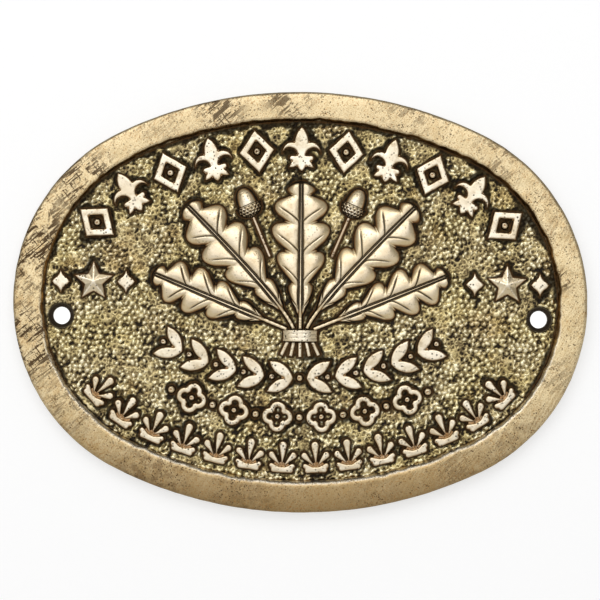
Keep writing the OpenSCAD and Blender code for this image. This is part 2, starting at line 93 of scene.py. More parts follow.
class PlaqueSizes(bpy.types.PropertyGroup):
    half_w: length("Half width", "Half the oval's width", PLATE_HIGH[0], min=1)
    half_h: length("Half height", "Half the oval's height", PLATE_HIGH[2], min=1)
    face: length("Face", "Height of the plate's face over the wall", -PLATE_LOW[1])
    rim_top: length("Rim top", "Height of the rim's top over the wall", -RIM_LOW[1])
    join_angle: bpy.props.FloatProperty(
        name="Arc join", description="Angle where end arcs meet side arcs, in degrees", default=64)
    edge_lean: bpy.props.FloatProperty(
        name="Edge lean", description="Lean of the outer edge, in degrees", default=3)
    back_bevel: length("Back bevel", "Bevel of the back's edge", 0.4)
    rim_w: length("Rim width", "From the oval's edge to the rim's inner edge", 7.8)
    rim_foot: length("Rim foot", "How far the rim's inner wall spreads at its foot", 0.9)
    shoulder: length("Shoulder", "Radius of the rim's outer shoulder", 0.8)
    hole_x: length("Hole place", "From the middle to a screw hole", 68.6)
    hole_drop: length("Hole drop", "How far the screw holes lie under the middle", 4.4)
    sink_r: length("Countersink", "Radius of the countersinks", 3.6)
    pebble: length("Pebble size", "Distance between the field's pebbles", 1.6, min=0.5)
    pebble_h: length("Pebble height", "Height of the field's pebbles", 0.7)
    field_step: length("Field step", "Distance between the field's points", 0.27, min=0.2)
    crown: length("Crown", "How far the rim's top falls evenly outwards", 0.12)
    worn_fall: length("Worn fall", "How far the rim's worn outer part falls besides", 0.35)
    flank_h: length("Flank height", "Height of the dark flanks round raised forms", 0.5)
    flank_w: length("Flank width", "Width of the dark flanks round raised forms", 0.6)
    soft_edge: length("Soft edge", "Radius of the ornament's worn edges", 0.6)
    leaf_h: length("Leaf height", "Height of the leaves' crests over the plate", 2.6)
    leaf_edge_h: length("Leaf edge", "Height of the leaves' upright edges", 0.9)
    stalk_w: length("Stalk width", "Width of a leaf's stalk", 1.6)
    leaf_notch: bpy.props.FloatProperty(
        name="Leaf notch", description="Share of a leaf's half width that its notches take", default=0.46)


class PlaqueColours(bpy.types.PropertyGroup):
    polished: paint("Polished brass", "Colour of the rubbed tops", 234, 225, 206)
    rim: paint("Rim brass", "Colour of the rim's top", 226, 208, 167)
    field: paint("Field brass", "Colour of the pebbles' tops", 234, 223, 188)
    tarnish: paint("Tarnish", "Brown of the shoulders and walls", 146, 102, 52)
    patina: paint("Patina", "Darkest patina, in the crevices", 31, 24, 16)


# Tones that the finishes mix with the panel's colours. The raised forms:
DULL_CREAM = linear(208, 194, 168)
BROWN_CLOUD = linear(176, 157, 125)
LOW_SHADE_CREAM = linear(182, 167, 136)
LEAF_CREAM = linear(216, 192, 150)
SLOPE_SHADE_GOLD = linear(204, 180, 128)
# The field:
PIT_OLIVE = linear(122, 106, 74)
SLOPE_OLIVE = linear(180, 163, 118)
GREEN_WASH = linear(248, 245, 208)
BROWN_WASH = linear(214, 190, 156)
FLANK_BROWN = linear(82, 57, 31)
# The rim:
RIM_CLOUD = linear(198, 175, 128)
RIM_GOLD = linear(192, 156, 98)
FILED_BROWN = linear(166, 140, 98)
LOW_RIM_SHADE = linear(143, 118, 78)
HIGH_RIM = linear(189, 171, 136)
END_RIM = linear(196, 174, 134)
SMUDGE = linear(96, 74, 50)
SCRATCH_BROWN = linear(66, 46, 24)
WALL_GOLD = linear(184, 140, 82)
WALL_SHADE_BROWN = linear(66, 44, 24)
# The countersinks' patina and painted shade, and the studio's walls:
SINK_PATINA_AND_SHADE = linear(46, 34, 22)
STUDIO_GREY = linear(190, 190, 190)


def sizes():
    return bpy.context.scene.plaque_sizes


def colours():
    return bpy.context.scene.plaque_colours


# The oval's geometry and smooth noise, in mm on the plate's plan

def oval_arcs():
    """End radius, side radius, the arcs' centres and the angle where they join, of the four-centred oval."""
    s = sizes()
    join = math.radians(s.join_angle)
    gap = (s.half_w - s.half_h) / (math.cos(join) + math.sin(join) - 1)
    end_r = s.half_h - gap * (1 - math.sin(join))
    return end_r, end_r + gap, s.half_w - end_r, end_r + gap - s.half_h, join


def oval_point(normal, inset):
    """Points on the oval drawn in by inset, where its outward normal has these directions in radians."""
    end_r, side_r, end_x, side_y, join = oval_arcs()
    across, up = np.cos(normal), np.sin(normal)
    on_side = np.abs(up) > math.sin(join)
    radius = np.where(on_side, side_r, end_r) - inset
    x = np.where(on_side, 0, np.sign(across) * end_x) + radius * across
    y = np.where(on_side, -np.sign(up) * side_y, 0) + radius * up
    return x, y


def oval_normals(count):
    """Directions of the normal at stations that lie evenly along the oval."""
    end_r, side_r, _, _, join = oval_arcs()
    quarter = np.array([0, join, math.pi / 2])
    corners = np.concatenate([
        quarter, math.pi - quarter[1::-1], math.pi + quarter[1:], 2 * math.pi - quarter[1::-1]])
    radii = [end_r, side_r, side_r, end_r, end_r, side_r, side_r, end_r]
    lengths = np.concatenate([[0], np.cumsum(np.diff(corners) * radii)])
    return np.interp(np.linspace(0, lengths[-1], count), lengths, corners)


def oval_inset(x, y):
    """How far inside the oval's edge each place lies."""
    end_r, side_r, end_x, side_y, join = oval_arcs()
    from_end = np.stack([np.abs(x) - end_x, np.abs(y)])
    at_end = from_end[1] * math.cos(join) <= from_end[0] * math.sin(join)
    end = end_r - np.hypot(*from_end)
    side = side_r - np.hypot(x, np.abs(y) + side_y)
    return np.where(at_end, end, side)


def grain(x, y, z, size, octaves=3):
    """Smooth seeded noise from -1 to 1 at places in mm."""
    flat = np.broadcast_arrays(x, y, z)
    shape = flat[0].shape
    points = np.stack([a.ravel() / size + SEED * 7.3 for a in flat], axis=1)
    values = [noise.fractal(Vector(p), 1.0, 2.0, octaves, noise_basis="PERLIN_ORIGINAL") for p in points]
    return np.array(values).reshape(shape)


def soft_step(value, low, high):
    """0 up to low, 1 from high on, and a smooth step between them. high may lie under low."""
    share = np.clip((value - low) / (high - low), 0, 1)
    return share * share * (3 - 2 * share)


# Mesh tools

def only(piece):
    """Selects this piece alone."""
    bpy.ops.object.select_all(action="DESELECT")
    piece.select_set(True)
    bpy.context.view_layer.objects.active = piece


def coordinates(piece):
    """The places of the mesh's points, one in each row."""
    flat = np.empty(len(piece.data.vertices) * 3)
    piece.data.vertices.foreach_get("co", flat)
    return flat.reshape(-1, 3)


def set_coordinates(piece, places):
    piece.data.vertices.foreach_set("co", np.ascontiguousarray(places, dtype=np.float64).ravel())
    piece.data.update()


def edit(*steps):
    """Runs edit-mode operators on all of the active piece. A step is a function."""
    bpy.ops.object.mode_set(mode="EDIT")
    bpy.ops.mesh.select_all(action="SELECT")
    for step in steps:
        step()
    bpy.ops.object.mode_set(mode="OBJECT")


def plan_to_frame(x, y, height):
    """Places on the plan, in mm, with heights over the wall, as the frame's metres."""
    return np.stack([x * MM, -np.asarray(height) * MM, y * MM], axis=-1)


def mark(piece, name, values):
    """Writes a number for each point, for the finish to read."""
    layer = piece.data.attributes.new(name, "FLOAT", "POINT")
    layer.data.foreach_set("value", np.ascontiguousarray(values, dtype=np.float64))


def named(name):
    """The piece that was just added, under this name."""
    piece = bpy.context.object
    piece.name = piece.data.name = name
    return piece


def grid(name, along, across):
    """A flat grid and its points' places, which go from -0.5 to 0.5 both ways."""
    bpy.ops.object.select_all(action="DESELECT")
    bpy.ops.mesh.primitive_grid_add(x_subdivisions=along, y_subdivisions=across, size=1)
    piece = named(name)
    return piece, coordinates(piece)


def sheet(name, along, across, place):
    """A closed skin shaped from a primitive grid.

    place(u, v) gives the places of shares 0 to 1 both ways, and the marks of each point by name."""
    piece, flat = grid(name, along, across)
    places, marks = place(flat[:, 0] + 0.5, flat[:, 1] + 0.5)
    set_coordinates(piece, places)
    for key, values in marks.items():
        mark(piece, key, values)
    edit(
        lambda: bpy.ops.mesh.remove_doubles(threshold=1e-6),
        lambda: bpy.ops.mesh.dissolve_degenerate(threshold=1e-7),
        lambda: bpy.ops.mesh.select_all(action="SELECT"),
        lambda: bpy.ops.mesh.normals_make_consistent(inside=False),
    )
    bpy.ops.object.shade_smooth()
    return piece


def cast_copy(node, voxel, rounds):
    """A copy of a CAD node with cast edges: merged, remeshed in voxels of this many mm, and smoothed."""
    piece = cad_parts[node].copy()
    piece.data = piece.data.copy()
    piece.data.materials.clear()
    for key in list(piece.keys()):
        del piece[key]
    piece.name = piece.data.name = "cast_" + node
    piece.parent = None
    piece.matrix_world = Matrix.Identity(4)
    bpy.context.scene.collection.objects.link(piece)
    only(piece)
    edit(lambda: bpy.ops.mesh.remove_doubles(threshold=2e-6))
    remesh = piece.modifiers.new("Cast skin", "REMESH")
    remesh.mode = "VOXEL"
    remesh.voxel_size = voxel * MM
    bpy.ops.object.modifier_apply(modifier=remesh.name)
    smooth = piece.modifiers.new("Cast edges", "SMOOTH")
    smooth.factor = 0.5
    smooth.iterations = rounds
    bpy.ops.object.modifier_apply(modifier=smooth.name)
    bpy.ops.object.shade_smooth()
    return piece


def finish_piece(piece, slot, *nodes):
    """Gives the piece the finish of its slot, and tells the frame what it is."""
    piece.data.materials.clear()
    piece.data.materials.append(finish_named(slot))
    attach(piece, BODY)
    if nodes:
        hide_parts(*nodes)


# Materials

class Finish:
    """A procedural metal finish, built node by node. A socket or a plain value may stand for any input."""

    def __init__(self, name):
        self.material = bpy.data.materials.new(name)
        self.material.use_nodes = True
        self.tree = self.material.node_tree
        self.shader = self.tree.nodes["Principled BSDF"]
        self.place = self.add("ShaderNodeTexCoord").outputs["Object"]
        self.axes = self.add("ShaderNodeSeparateXYZ", self.place).outputs

    def add(self, kind, *inputs, **settings):
        node = self.tree.nodes.new(kind)
        for key, value in settings.items():
            setattr(node, key, value)
        for socket, value in zip(node.inputs, inputs):
            self.feed(socket, value)
        return node

    def feed(self, socket, value):
        if value is None:
            return
        if isinstance(value, bpy.types.NodeSocket):
            self.tree.links.new(value, socket)
        elif socket.type == "RGBA":
            socket.default_value = (*value, 1)
        else:
            socket.default_value = value

    def math(self, operation, *values, clamp=False):
        return self.add("ShaderNodeMath", *values, operation=operation, use_clamp=clamp).outputs[0]

    def plus(self, one, other, clamp=False):
        return self.math("ADD", one, other, clamp=clamp)

    def minus(self, one, other):
        return self.math("SUBTRACT", one, other)

    def times(self, one, other, clamp=False):
        return self.math("MULTIPLY", one, other, clamp=clamp)

    def most(self, one, other):
        return self.math("MAXIMUM", one, other)

    def remap(self, value, low, high, to_low=0.0, to_high=1.0):
        """A soft step from to_low to to_high while the value goes from low to high."""
        ends = (low, high, to_low, to_high)
        return self.add("ShaderNodeMapRange", value, *ends, interpolation_type="SMOOTHSTEP").outputs[0]

    def marked(self, name):
        """What mark() wrote on the mesh, or 0 where it wrote nothing."""
        return self.add("ShaderNodeAttribute", attribute_name=name).outputs["Fac"]

    def facing(self):
        """The surface's direction along Y: -1 where it faces straight out of the wall."""
        normal = self.add("ShaderNodeTexCoord").outputs["Normal"]
        return self.add("ShaderNodeSeparateXYZ", normal).outputs["Y"]

    def stretched(self, turn, longer):
        """Places in which noise comes out this many times longer along a line that rises at this angle."""
        steps = ((0, 0, 0), (0, math.radians(-turn), 0), (longer, 1, 1))
        return self.add("ShaderNodeMapping", self.place, *steps, vector_type="TEXTURE").outputs[0]

    def noise(self, size, detail=2, rough=0.5, distortion=0, vector=None):
        """Noise from 0 to 1 with features of about this size in mm."""
        node = self.add("ShaderNodeTexNoise", vector or self.place)
        values = {"Scale": 1 / (size * MM), "Detail": detail, "Roughness": rough, "Distortion": distortion}
        for key, value in values.items():
            node.inputs[key].default_value = value
        return node.outputs[0]

    def cells(self, size):
        """Distance from the nearest of scattered points, which lie about this many mm apart."""
        node = self.add("ShaderNodeTexVoronoi", self.place, feature="F1")
        node.inputs["Scale"].default_value = 1 / (size * MM)
        return node.outputs["Distance"]

    def mix(self, share, one, other, blend="MIX"):
        node = self.add("ShaderNodeMix", data_type="RGBA", blend_type=blend)
        for key, value in (("Factor_Float", share), ("A_Color", one), ("B_Color", other)):
            self.feed(next(s for s in node.inputs if s.identifier == key), value)
        return next(s for s in node.outputs if s.identifier == "Result_Color")

    def tint(self, tone, colour, share, value, low, high):
        """The tone with up to this share of the colour, while the value goes from low to high."""
        return self.mix(self.remap(value, low, high, 0.0, share), tone, colour)

    def bump(self, height, distance):
        """Bump for a height of 0 to 1 that stands for this many mm."""
        node = self.add("ShaderNodeBump")
        node.inputs["Strength"].default_value = 1.0
        node.inputs["Distance"].default_value = distance * MM
        self.feed(node.inputs["Height"], height)
        return node.outputs[0]

    def set(self, **inputs):
        for key, value in inputs.items():
            self.feed(self.shader.inputs["Base Color" if key == "colour" else key.title()], value)
        return self.material


def height_over(finish, level):
    """Height in mm over a level that is itself measured from the wall."""
    raised = finish.times(finish.axes["Y"], -1 / MM)
    return finish.minus(raised, level)


def pits(finish, size, share):
    """Small dark pits, 1 inside a pit, about this many mm apart. share is how much of them is kept."""
    spots = finish.cells(size)
    wild = finish.noise(size * 1.9, 2, 0.6)
    edge = finish.remap(wild, 0.35, 0.65, 0.14, 0.38)
    inside = finish.times(finish.minus(edge, spots), 9, clamp=True)
    return finish.times(inside, share, clamp=True)


def polished_finish():
    """Raised forms: pale rubbed tops with pits, brown worn edges, and dark feet."""
    f = Finish("raised_brass")
    c = colours()
    height = height_over(f, sizes().face)
    edge = f.marked("edge")
    groove = f.marked("groove")
    patches = f.noise(6, 3, 0.55)
    fine = f.noise(0.45, 3, 0.65)
    facing = f.facing()
    top = f.remap(facing, -0.62, -0.98)
    rubbed = f.times(top, f.remap(height, 0.15, 1.1))
    tone = f.mix(f.remap(patches, 0.3, 0.7), DULL_CREAM, c.polished)
    tone = f.tint(tone, BROWN_CLOUD, 0.6, f.noise(2.6, 3, 0.6), 0.5, 0.7)
    # Painted shade: the raised forms darken towards the bottom of the plaque
    tone = f.tint(tone, LOW_SHADE_CREAM, 0.3, f.axes["Z"], 10 * MM, -50 * MM)
    calm = f.marked("calm")
    tone = f.mix(f.times(calm, 0.4), tone, LEAF_CREAM)
    # Painted shade: slopes that turn from straight out of the wall take a warm gold shade
    tone = f.tint(tone, SLOPE_SHADE_GOLD, 0.5, facing, -0.99, -0.9)
    ragged = f.times(edge, f.remap(fine, 0.3, 0.5, 0.5, 0.85))
    tone = f.mix(ragged, tone, c.tarnish)
    warm = f.mix(f.remap(rubbed, 0.0, 0.35), c.patina, c.tarnish)
    colour = f.mix(f.remap(rubbed, 0.15, 0.75), warm, tone)
    kept = f.minus(f.remap(patches, 0.4, 0.58, 0.45, 1.0), f.times(calm, 0.6))
    spots = pits(f, 0.85, kept)
    colour = f.mix(f.times(spots, 0.8), colour, c.patina)
    colour = f.tint(colour, c.tarnish, 0.4, fine, 0.55, 0.75)
    colour = f.tint(colour, c.patina, 0.92, groove, 0.1, 0.8)
    rough = f.plus(f.remap(rubbed, 0.2, 0.9, 0.45, 0.3), f.times(spots, 0.25))
    dents = f.minus(f.times(fine, 0.5), spots)
    return f.set(
        colour=colour, metallic=f.remap(rubbed, 0.05, 0.6, 0.6, 1.0), roughness=rough,
        normal=f.bump(dents, 0.07))


def field_finish():
    """The pebbled field: dark pits, olive slopes and pale tops, from the skin's own marks."""
    f = Finish("field_brass")
    c = colours()
    peak = f.marked("peak")
    patina_and_shade = f.marked("patina_and_shade")
    fine = f.noise(0.5, 3, 0.6)
    patches = f.noise(13, 3, 0.5)
    lifted = f.plus(peak, f.remap(fine, 0.25, 0.75, -0.17, 0.17))
    low = f.mix(f.remap(lifted, 0.1, 0.34), c.patina, PIT_OLIVE)
    slope = f.mix(f.remap(lifted, 0.32, 0.58), low, SLOPE_OLIVE)
    colour = f.mix(f.remap(lifted, 0.6, 0.95), slope, c.field)
    for wash, share in (
        (GREEN_WASH, f.remap(patches, 0.42, 0.62, 0.0, 0.4)),
        (BROWN_WASH, f.remap(f.noise(9, 3, 0.55), 0.5, 0.68, 0.0, 0.4)),
    ):
        colour = f.mix(share, colour, wash, "MULTIPLY")
    # Patina and painted shade next to the raised forms, and a painted ring of shade round the countersinks
    colour = f.mix(f.times(patina_and_shade, 0.92), colour, c.patina)
    flank = f.marked("flank")
    colour = f.tint(colour, FLANK_BROWN, 0.72, flank, 0.1, 0.7)
    rough = f.most(f.remap(lifted, 0.1, 0.8, 0.42, 0.2), f.remap(patina_and_shade, 0, 1, 0.2, 0.6))
    return f.set(
        colour=colour, metallic=f.remap(lifted, 0.0, 0.3, 0.8, 1.0), roughness=rough,
        normal=f.bump(fine, 0.16))


# The patches' middles lie this far out of the wall, at the rim's top
PATCH_Y = -5 * MM

# Places on the rim where dark patina stays between the file marks: across, up and reach in mm, and share
WEAR_PATCHES = (
    (-24, 55, 11, 0.8), (-4, 58, 10, 0.7), (-12, -57, 12, 0.2),
    (-77, 16, 22, 0.95), (-78, -12, 18, 0.95), (-62, 33, 15, 0.9), (-66, -30, 13, 0.5), (-40, 51, 12, 0.3),
    (56, 41, 12, 0.5), (75, 7, 5, 0.8), (72, -22, 13, 0.35), (30, 54, 12, 0.4), (46, -47, 12, 0.3),
)

# The same for fine black specks
SPECK_PATCHES = (
    (-42, -50, 15, 0.9), (-18, -57, 13, 0.6), (22, -57, 12, 0.4), (60, -38, 13, 0.6), (70, 26, 14, 0.5),
)


def patches_of(finish, spots):
    """Share of the strongest of these patches at each place."""
    strongest = None
    for across, up, reach, share in spots:
        middle = (across * MM, PATCH_Y, up * MM)
        off = finish.add("ShaderNodeVectorMath", finish.place, middle, operation="DISTANCE").outputs["Value"]
        spot = finish.remap(off, reach * MM, reach * 0.25 * MM, 0.0, share)
        strongest = spot if strongest is None else finish.most(strongest, spot)
    return strongest


def rim_finish():
    """The rim: rubbed pale top with file marks and grain, dark scratched patches and a brown inner wall."""
    f = Finish("rim_brass")
    c = colours()
    height = height_over(f, sizes().face)
    facing = f.facing()
    lip_highlight = f.marked("lip_highlight")
    inner = f.marked("inner")
    outer = f.math("LESS_THAN", inner, 0.5)
    across, up = f.axes["X"], f.axes["Z"]
    shoulder = f.times(f.remap(facing, -0.12, -0.4), outer)
    top = f.most(f.remap(facing, -0.4, -0.8), shoulder)
    # Dark file marks and pits, most of them in the worn patches
    worn = patches_of(f, WEAR_PATCHES)
    clouds = f.noise(5, 4, 0.65, 0.5)
    dark_share = f.times(worn, f.remap(clouds, 0.4, 0.5))
    strokes = f.noise(0.58, 1, 0.5, vector=f.stretched(40, 11))
    cross = f.noise(0.55, 2, 0.55, vector=f.stretched(-52, 7))
    shallow = f.noise(0.5, 2, 0.5, vector=f.stretched(62, 14))
    grit = f.noise(0.42, 3, 0.7)
    lines = f.most(f.remap(strokes, 0.52, 0.55), f.remap(cross, 0.6, 0.63))
    marks = f.times(lines, dark_share)
    hatch = f.remap(f.noise(0.36, 1, 0.5, vector=f.stretched(36, 8)), 0.54, 0.57, 0.0, 0.5)
    hatch = f.times(hatch, f.times(worn, f.remap(clouds, 0.42, 0.52)))
    marks = f.most(marks, hatch)
    spots = pits(f, 0.8, f.plus(f.times(dark_share, 0.7), f.remap(clouds, 0.4, 0.65, 0.25, 0.8)))
    # The rubbed top's tone, with painted shade towards the bottom and a painted highlight on the lower inner
    # edge
    tone = f.tint(c.rim, RIM_CLOUD, 0.6, f.noise(4, 4, 0.6), 0.4, 0.7)
    tone = f.tint(tone, RIM_GOLD, 0.4, f.noise(3.4, 4, 0.68), 0.5, 0.66)
    tone = f.tint(tone, FILED_BROWN, 0.36, shallow, 0.48, 0.62)
    # Painted shade: the rim's top darkens towards the bottom, a little less at its inner edge
    low = f.remap(up, -16 * MM, -60 * MM, 0.0, 0.9)
    low = f.times(low, f.remap(inner, 0.2, 1.0, 1.0, 0.88))
    tone = f.mix(low, tone, LOW_RIM_SHADE)
    tone = f.tint(tone, HIGH_RIM, 0.62, up, 8 * MM, 56 * MM)
    tone = f.tint(tone, END_RIM, 0.25, f.math("ABSOLUTE", across), 66 * MM, 78 * MM)
    tone = f.mix(f.times(dark_share, 0.08), tone, c.tarnish)
    tone = f.tint(tone, c.tarnish, 0.8, grit, 0.52, 0.66)
    speckled = patches_of(f, SPECK_PATCHES)
    smudged = f.times(speckled, f.remap(f.noise(2.6, 4, 0.7), 0.42, 0.6, 0.0, 0.6))
    tone = f.mix(smudged, tone, SMUDGE)
    sown = f.plus(f.remap(f.noise(7, 3, 0.55), 0.45, 0.62, 0.1, 0.6), speckled, clamp=True)
    specks = pits(f, 0.62, sown)
    dark = f.most(marks, f.times(spots, 0.85))
    dark = f.most(dark, f.times(specks, 0.85))
    # Painted highlight: the inner edge of the top turns polished in the lower part, where it faces up
    lip_highlight = f.times(lip_highlight, f.remap(up, 8 * MM, -24 * MM))
    tone = f.mix(f.times(lip_highlight, f.remap(grit, 0.4, 0.52, 0.1, 0.95)), tone, c.polished)
    colour = f.mix(dark, tone, SCRATCH_BROWN)
    # The inner and the outer wall
    wall = f.mix(f.remap(height, 0.0, 1.2), c.patina, WALL_GOLD)
    # Painted shade: the inner wall turns dark brown in the upper half and at the right end, most of all
    # below its upper edge
    wall_shade = f.times(f.remap(across, 36 * MM, 62 * MM, 0.0, 0.7), f.remap(up, -10 * MM, 4 * MM))
    wall_shade = f.most(wall_shade, f.remap(up, -2 * MM, 26 * MM))
    wall_shade = f.times(wall_shade, f.remap(height, 2.05, 1.35, 0.1, 0.75))
    wall = f.mix(wall_shade, wall, WALL_SHADE_BROWN)
    # Painted highlight: the inner wall turns polished in the lower part, where it faces up
    lit = f.times(f.remap(up, -2 * MM, -26 * MM), f.remap(height, 0.5, 1.1))
    wall = f.mix(f.times(lit, f.remap(grit, 0.36, 0.5, 0.5, 0.95)), wall, c.polished)
    side = f.mix(f.remap(clouds, 0.35, 0.65), shade(c.rim, 0.42), shade(c.rim, 0.62))
    wall = f.mix(outer, wall, f.tint(side, c.tarnish, 0.6, grit, 0.55, 0.7))
    colour = f.mix(top, wall, colour)
    scratches = f.plus(f.times(strokes, 0.5), f.times(shallow, 0.6))
    grooves = f.plus(scratches, f.times(dark, -0.8))
    grooves = f.plus(grooves, f.times(grit, 0.5))
    return f.set(
        colour=colour, metallic=f.remap(dark, 0.2, 0.9, 1.0, 0.85),
        roughness=f.remap(dark, 0.0, 0.8, 0.34, 0.55), normal=f.bump(grooves, 0.07))


def back_finish():
    """The plate as cast: a dull sandy skin with small pits, and countersinks near black with patina and
    painted shade.
    """
    f = Finish("back_brass")
    c = colours()
    s = sizes()
    sand = f.noise(0.7, 4, 0.65)
    patches = f.noise(9, 5, 0.65)
    hollows = f.noise(3.2, 3, 0.6)
    strokes = f.noise(0.55, 2, 0.55, vector=f.stretched(7, 34))
    base = f.mix(f.remap(patches, 0.3, 0.7), shade(c.rim, 0.38), shade(c.rim, 0.6))
    sanded = f.times(f.remap(hollows, 0.42, 0.6), f.remap(strokes, 0.42, 0.58))
    base = f.mix(f.times(sanded, 0.55), base, shade(c.rim, 0.86))
    base = f.tint(base, c.tarnish, 0.7, sand, 0.55, 0.75)
    base = f.mix(f.times(pits(f, 1.4, f.remap(patches, 0.4, 0.7, 0.3, 1.0)), 0.7), base, c.patina)
    aside = f.minus(f.math("ABSOLUTE", f.axes["X"]), s.hole_x * MM)
    below = f.plus(f.axes["Z"], s.hole_drop * MM)
    off = f.add("ShaderNodeVectorMath", f.add("ShaderNodeCombineXYZ", aside, 0.0, below).outputs[0],
                operation="LENGTH").outputs["Value"]
    # Patina and painted shade: the countersinks turn near black
    sink_patina_and_shade = f.remap(off, (s.sink_r + 0.2) * MM, (s.sink_r - 0.2) * MM, 0.3, 1.0)
    inside = f.math("LESS_THAN", off, (s.sink_r + 0.25) * MM)
    sink_patina_and_shade = f.times(sink_patina_and_shade, f.times(inside, f.remap(height_over(f, 0), 0.4, 1.4)))
    colour = f.mix(f.times(sink_patina_and_shade, 0.93), base, SINK_PATINA_AND_SHADE)
    dents = f.plus(sand, f.times(hollows, 1.6))
    return f.set(
        colour=colour, metallic=f.remap(sink_patina_and_shade, 0, 1, 0.9, 0.85),
        roughness=f.remap(sand, 0.3, 0.7, 0.38, 0.55), normal=f.bump(dents, 0.3))


FINISHES = {"raised": polished_finish, "field": field_finish, "rim": rim_finish, "back": back_finish}


def finish_named(name):
    """The finish of this name, made once and then shared."""
    return bpy.data.materials.get(name + "_brass") or FINISHES[name]()


# Operators, one for each piece or group of pieces

class PLAQUE_OT_plate(bpy.types.Operator):
    """Gives the back plate its sandy cast finish"""

    bl_idname = "plaque.plate"
    bl_label = "Back plate"

    def execute(self, context):
        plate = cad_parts["back_plate"]
        plate.data.materials.clear()
        plate.data.materials.append(finish_named("back"))
        return {"FINISHED"}


class PLAQUE_OT_rim(bpy.types.Operator):
    """Shapes the rim with a wavy inner edge, worn shoulders and small dents"""

    bl_idname = "plaque.rim"
    bl_label = "Rim"

    stations = 1100
    profile_steps = 56

    # All in mm. The inner shoulder's radius, and how far it stands in over the rim's width
    inner_r, overhang = 0.7, 0.15
    # The hidden foot: how far its two ends go down into the plate, and where it ends outwards
    wall_down, foot_down, foot_out = 0.15, 0.2, 2.0
    # How much wider the rim is low down and at its left end, and where that sets in and is full
    low_extra, low_from, low_full = 1.0, 24, 54
    left_extra, left_from, left_full = 0.45, 52, 76
    # The inner edge's waves, the outer shoulder's dents, and the top's low bevel, least fall and ripples
    long_wave, short_wave, dent = 0.34, 0.26, 0.22
    bevel_h, least_fall, ripple_h = 0.3, 0.03, 0.07

    def profile(self):
        """The rim's section as insets from the oval's edge and heights over the wall, in mm."""
        s = sizes()
        lean = math.tan(math.radians(s.edge_lean))
        corners = [
            (lean * (s.face - s.back_bevel), s.face),
            (lean * (s.rim_top - s.back_bevel - s.shoulder), s.rim_top - s.shoulder),
        ]
        for step in range(1, 7):
            turn = math.radians(15 * step)
            corners.append((corners[1][0] + s.shoulder * (1 - math.cos(turn)),
                            s.rim_top - s.shoulder * (1 - math.sin(turn))))
        corners += [(s.rim_w * share, s.rim_top) for share in (0.3, 0.5, 0.7, 0.85)]
        edge = s.rim_w + self.overhang
        for step in range(6):
            turn = math.radians(13 * step)
            corners.append((edge - self.inner_r + self.inner_r * math.sin(turn),
                            s.rim_top - self.inner_r * (1 - math.cos(turn))))
        foot = s.face - self.foot_down
        corners += [(s.rim_w + s.rim_foot, s.face - self.wall_down), (s.rim_w, foot), (self.foot_out, foot)]
        corners = np.array([*corners, corners[0]])
        lengths = np.concatenate([[0], np.cumsum(np.hypot(*np.diff(corners, axis=0).T))])
        # Most of the points go to the shoulders, the top and the inner wall
        busy = lengths[-4]
        shares = np.concatenate([np.linspace(0, busy, self.profile_steps - 3), lengths[-3:]])
        return np.interp(shares, lengths, corners[:, 0]), np.interp(shares, lengths, corners[:, 1])

    def execute(self, context):
        s = sizes()
        normals = oval_normals(self.stations + 1)
        insets, heights = self.profile()

        def place(u, v):
            station = np.rint(u * self.stations).astype(int) % self.stations
            step = np.rint(v * self.profile_steps).astype(int)
            step = np.minimum(step, len(insets) - 1)
            normal, inset, height = normals[station], insets[step], heights[step]
            x, y = oval_point(normal, 0)
            # Chips and waves move the inner edge; only what is well above the plate may move
            free = soft_step(height, s.face + 0.1, s.face + 0.9)
            inner = soft_step(inset, s.rim_w * 0.55, s.rim_w)
            out = np.clip(1 - inset / s.rim_w, 0, 1)
            below = soft_step(-y, self.low_from, self.low_full)
            # Where the painted highlight along the inner edge of the top may go
            lip_highlight = soft_step(inset, s.rim_w - 0.7, s.rim_w - 0.25)
            lip_highlight = lip_highlight * soft_step(height, s.rim_top - 0.6, s.rim_top - 0.2)
            bevel = below * soft_step(inset, s.rim_w - 1.1, s.rim_w)
            waves = grain(x, y, 0, 9, 2) * self.long_wave + grain(x, y, 3, 2.6, 3) * self.short_wave
            waves = waves + self.left_extra * soft_step(-x, self.left_from, self.left_full)
            inset = inset + inner * (free * waves + self.low_extra * below)
            dents = grain(x * 0.8, y * 0.8, inset * 0.5, 4.5, 3)
            outer = soft_step(inset, 2.2, 0.4)
            inset = inset + free * outer * np.clip(dents, 0, 1) * self.dent
            ripple = grain(x, y, inset, 7, 2)
            px, py = oval_point(normal, inset)
            top = soft_step(height, s.rim_top - 1.6, s.rim_top)
            fall = s.crown * out + s.worn_fall * out ** 3 + self.bevel_h * bevel
            height = height - top * (self.least_fall + fall + self.ripple_h * (1 + ripple) / 2)
            return plan_to_frame(px, py, height), {"lip_highlight": lip_highlight, "inner": 1 - out}

        rim = sheet("cast_rim", self.stations, self.profile_steps, place)
        finish_piece(rim, "rim", "rim")
        return {"FINISHED"}


def relief_tree():
    """Everything that stands on the field, as one tree for nearest-point searches."""
    places, faces = [], []
    for name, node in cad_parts.items():
        if name == "back_plate":
            continue
        first = len(places)
        places += [node.matrix_world @ v.co for v in node.data.vertices]
        faces += [[first + i for i in p.vertices] for p in node.data.polygons]
    return BVHTree.FromPolygons(places, faces)


